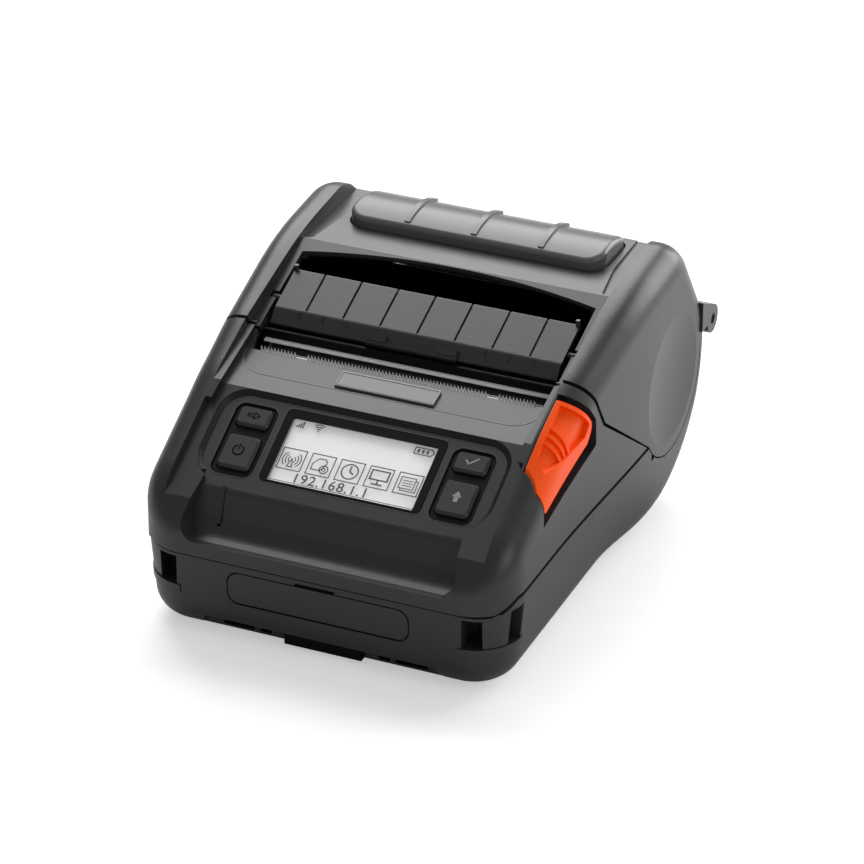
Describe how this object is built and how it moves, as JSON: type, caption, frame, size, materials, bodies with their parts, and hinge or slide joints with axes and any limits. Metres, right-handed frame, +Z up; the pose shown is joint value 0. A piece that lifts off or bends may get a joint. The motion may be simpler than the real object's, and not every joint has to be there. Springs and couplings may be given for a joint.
{
  "type": "portable label printer",
  "caption": "Portable label printer with hinged paper cover, roll chamber, tear edges, peeler flap, display, keys, cover latch and port door",
  "frame": {"origin": "centre of the bounding box on the ground plane", "axes": "X across the printer to its right, Y from the front lip to the rear hinge, Z up"},
  "size_m": [0.1138, 0.1506, 0.0808],
  "materials": {
    "case_plastic": "satin charcoal",
    "window_plastic": "smooth charcoal",
    "black_plastic": "black",
    "key_rubber": "satin",
    "cover_rubber": "matt",
    "roller_rubber": "matt",
    "orange_plastic": "orange",
    "display_glass": "clear",
    "display_grey": "grey display",
    "light_lens": "dark lens",
    "gear_plastic": "natural",
    "steel": "bare",
    "alloy": "cast",
    "ceramic": "glazed",
    "brass": "bare",
    "board": "green lacquer"
  },
  "bodies": {
    "lower_case": {"lower_case": "case_plastic", "upper_housing": "case_plastic", "hinge_pins": "steel", "lcd_bezel": "black_plastic", "display_window": "display_glass", "lcd_module": "display_grey", "left_keypad": "black_plastic", "right_keypad": "black_plastic", "control_board": "board", "key_switches": "black_plastic", "status_light": "light_lens", "badge_plate": "black_plastic", "print_frame": "steel", "platen_cradles": "steel", "print_head": "ceramic", "head_bracket": "alloy", "head_springs": "steel", "tear_comb": "steel", "idler_axle": "steel", "drive_motor": "steel", "roll_tray": "black_plastic", "label_sensor": "black_plastic", "main_board": "board", "interface_board": "board", "usb_socket": "steel", "serial_socket": "black_plastic", "service_socket": "steel", "dock_contact_block": "black_plastic", "dock_contacts": "brass", "battery_pack": "black_plastic", "battery_contacts": "black_plastic", "power_jack": "black_plastic", "case_screws": "steel", "feet": "cover_rubber"},
    "paper_cover": {"paper_cover": "case_plastic", "roll_window": "window_plastic", "platen_frame": "black_plastic", "tear_bar": "steel", "platen_bushings": "gear_plastic"},
    "platen": {"platen_roller": "roller_rubber", "platen_shaft": "steel", "platen_gear": "gear_plastic"},
    "peeler_flap": {"peeler_flap": "case_plastic", "peeler_clip": "case_plastic"},
    "peel_roller": {"peel_roller": "roller_rubber"},
    "cover_latch": {"cover_latch": "orange_plastic", "latch_hook": "steel"},
    "interface_door": {"interface_door": "case_plastic"},
    "lower_left_key": {"lower_left_key": "key_rubber"},
    "upper_left_key": {"upper_left_key": "key_rubber"},
    "lower_right_key": {"lower_right_key": "key_rubber"},
    "upper_right_key": {"upper_right_key": "key_rubber"},
    "idler_gear": {"idler_gear": "gear_plastic"},
    "motor_rotor": {"motor_shaft": "steel", "motor_pinion": "brass"},
    "left_guide": {"left_guide": "black_plastic"},
    "right_guide": {"right_guide": "black_plastic"},
    "guide_pinion": {"guide_pinion": "gear_plastic"},
    "battery_latch": {"battery_latch": "black_plastic"},
    "jack_cover": {"jack_cover": "cover_rubber"}
  },
  "joints": [
    {"name": "cover_hinge", "type": "hinge", "parent": "lower_case", "child": "paper_cover", "pos_m": [0, 0.0711, 0.0457], "axis": [-1, 0, 0], "range_deg": [0, 95]},
    {"name": "platen_spin", "type": "hinge", "parent": "paper_cover", "child": "platen", "pos_m": [0, -0.0095, 0.053], "axis": [1, 0, 0], "continuous": true},
    {"name": "idler_spin", "type": "hinge", "parent": "lower_case", "child": "idler_gear", "pos_m": [-0.0486, -0.01065, 0.0403], "axis": [1, 0, 0], "continuous": true},
    {"name": "motor_spin", "type": "hinge", "parent": "lower_case", "child": "motor_rotor", "pos_m": [-0.0486, -0.01952, 0.03388], "axis": [1, 0, 0], "continuous": true},
    {"name": "peeler_hinge", "type": "hinge", "parent": "paper_cover", "child": "peeler_flap", "pos_m": [0, -0.0036, 0.067], "axis": [1, 0, 0], "range_deg": [0, 30]},
    {"name": "peel_roller_spin", "type": "hinge", "parent": "peeler_flap", "child": "peel_roller", "pos_m": [0, -0.0083, 0.0629], "axis": [1, 0, 0], "continuous": true},
    {"name": "latch_slide", "type": "slide", "parent": "lower_case", "child": "cover_latch", "axis": [0, 0.9, 0.4359], "range_m": [0, 0.0012], "stiffness_N_per_m": 600, "springref_m": -0.001},
    {"name": "door_hinge", "type": "hinge", "parent": "lower_case", "child": "interface_door", "pos_m": [0, -0.0735, 0.0132], "axis": [1, 0, 0], "range_deg": [0, 95]},
    {"name": "lower_left_press", "type": "slide", "parent": "lower_case", "child": "lower_left_key", "axis": [0, 0.4741, -0.8805], "range_m": [0, 0.0007], "stiffness_N_per_m": 900, "springref_m": -0.0004},
    {"name": "upper_left_press", "type": "slide", "parent": "lower_case", "child": "upper_left_key", "axis": [0, 0.4741, -0.8805], "range_m": [0, 0.0007], "stiffness_N_per_m": 900, "springref_m": -0.0004},
    {"name": "lower_right_press", "type": "slide", "parent": "lower_case", "child": "lower_right_key", "axis": [0, 0.4741, -0.8805], "range_m": [0, 0.0007], "stiffness_N_per_m": 900, "springref_m": -0.0004},
    {"name": "upper_right_press", "type": "slide", "parent": "lower_case", "child": "upper_right_key", "axis": [0, 0.4741, -0.8805], "range_m": [0, 0.0007], "stiffness_N_per_m": 900, "springref_m": -0.0004},
    {"name": "left_guide_slide", "type": "slide", "parent": "lower_case", "child": "left_guide", "axis": [1, 0, 0], "range_m": [0, 0.016]},
    {"name": "right_guide_slide", "type": "slide", "parent": "lower_case", "child": "right_guide", "axis": [-1, 0, 0], "range_m": [0, 0.016]},
    {"name": "guide_pinion_spin", "type": "hinge", "parent": "lower_case", "child": "guide_pinion", "pos_m": [0, 0.0335, 0.0102], "axis": [0, 0, 1], "range_deg": [-5, 225]},
    {"name": "battery_latch_slide", "type": "slide", "parent": "lower_case", "child": "battery_latch", "axis": [0, -1, 0], "range_m": [0, 0.0018], "stiffness_N_per_m": 400, "springref_m": -0.001},
    {"name": "jack_cover_hinge", "type": "hinge", "parent": "lower_case", "child": "jack_cover", "pos_m": [-0.0537, -0.0517, 0.0339], "axis": [0, 0, -1], "range_deg": [0, 90]}
  ],
  "couplings": [
    {"joint": "idler_spin", "follows": "platen_spin", "ratio": -0.75},
    {"joint": "motor_spin", "follows": "platen_spin", "ratio": 1.5},
    {"joint": "right_guide_slide", "follows": "left_guide_slide", "ratio": 1},
    {"joint": "guide_pinion_spin", "follows": "left_guide_slide", "rad_per_m": 238.1}
  ]
}
